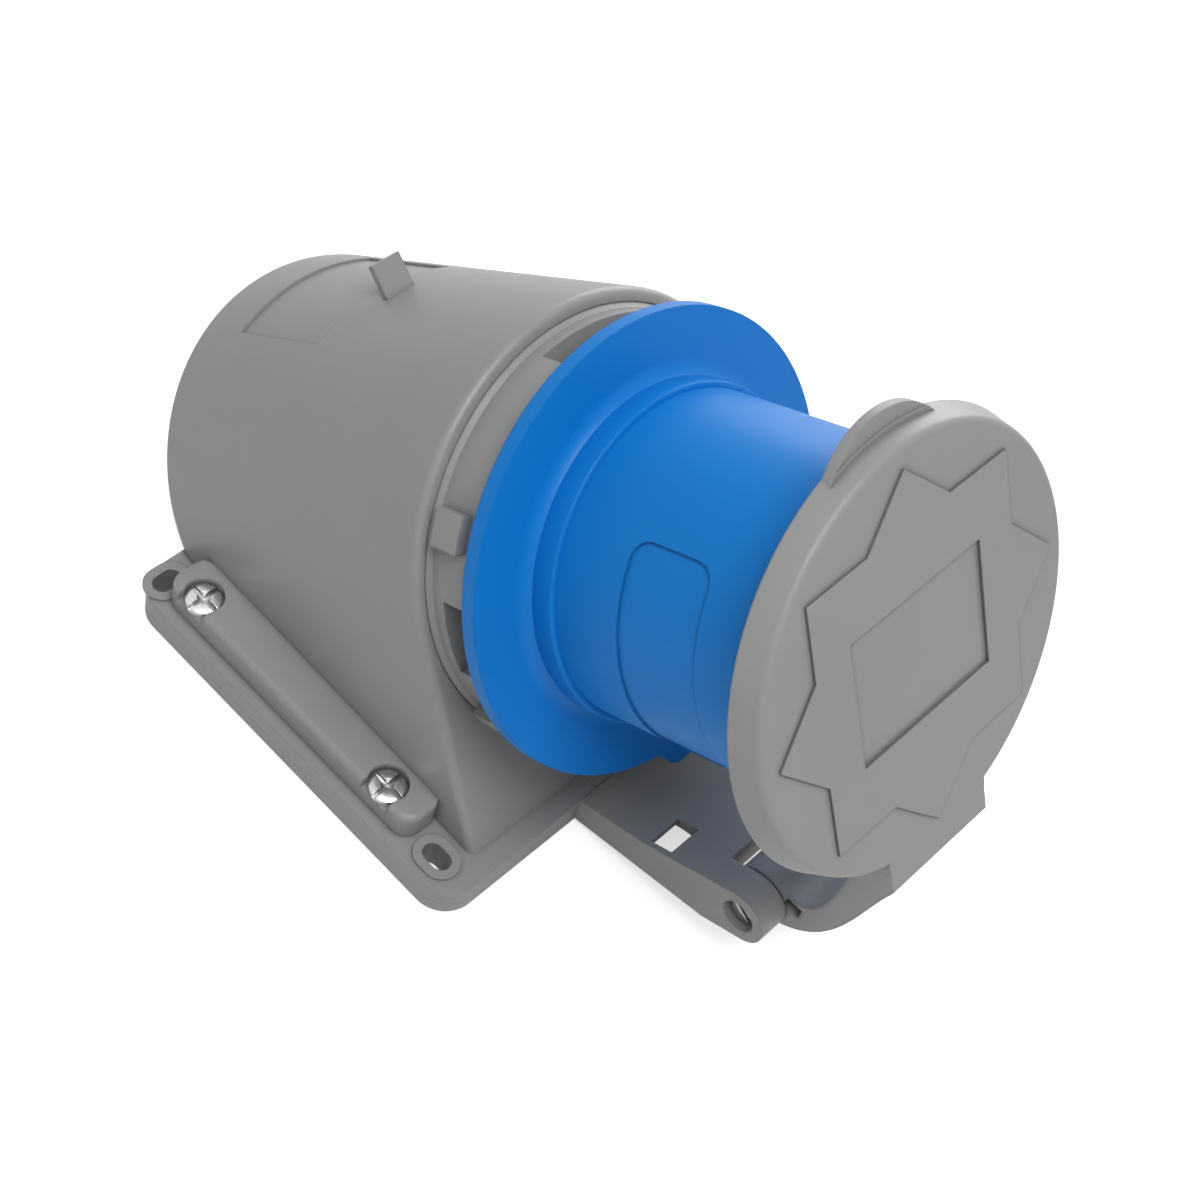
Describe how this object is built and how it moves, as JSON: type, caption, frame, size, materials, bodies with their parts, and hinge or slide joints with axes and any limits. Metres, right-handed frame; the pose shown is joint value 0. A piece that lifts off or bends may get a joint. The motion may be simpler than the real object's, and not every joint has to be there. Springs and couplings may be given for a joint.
{
  "type": "angled wall inlet",
  "caption": "Angled industrial wall inlet: round sloping housing on a wall flange, a shrouded pin inlet and a sprung round lid with a star relief on a curved hinge arm.",
  "frame": {"origin": "on the wall plane, at the centre of the four wall fixings", "axes": "+Z out of the wall, -Y towards the lid and hinge, +Y towards the cable entry, X across; the object is symmetrical in outline about X = 0"},
  "size_m": [0.142, 0.2277, 0.1599],
  "materials": {
    "grey_plastic": "fine satin",
    "blue_plastic": "satin",
    "dark_plastic": "matt",
    "black_rubber": "matt",
    "bright_steel": "zinc plated",
    "contact_metal": "nickel plated"
  },
  "bodies": {
    "inlet": {"wall_tray": "grey_plastic", "tray_seal": "black_rubber", "housing": "grey_plastic", "cover_screw_1": "bright_steel", "cover_screw_2": "bright_steel", "cover_screw_3": "bright_steel", "cover_screw_4": "bright_steel", "hinge_bracket": "grey_plastic", "bracket_screw_1": "bright_steel", "bracket_screw_2": "bright_steel", "hinge_pin": "bright_steel", "lid_spring": "bright_steel", "inlet_insert": "blue_plastic", "insert_seal": "black_rubber", "insert_screw_1": "bright_steel", "insert_screw_2": "bright_steel", "insert_screw_3": "bright_steel", "insert_screw_4": "bright_steel", "contact_carrier": "dark_plastic", "contact_retainer": "dark_plastic", "retainer_screw_1": "bright_steel", "retainer_screw_2": "bright_steel", "line_pin": "contact_metal", "neutral_pin": "contact_metal", "earth_pin": "contact_metal", "terminal_screw_1": "bright_steel", "terminal_screw_2": "bright_steel", "terminal_screw_3": "bright_steel"},
    "lid": {"lid": "grey_plastic", "lid_seal": "black_rubber"}
  },
  "joints": [
    {"name": "lid_hinge", "type": "hinge", "parent": "inlet", "child": "lid", "pos_m": [0, -0.1105, 0.0237], "axis": [1, 0, 0], "range_deg": [0, 85], "stiffness_Nm_per_rad": 0.12, "springref_deg": -34.38, "deforming": ["lid_spring"]}
  ]
}
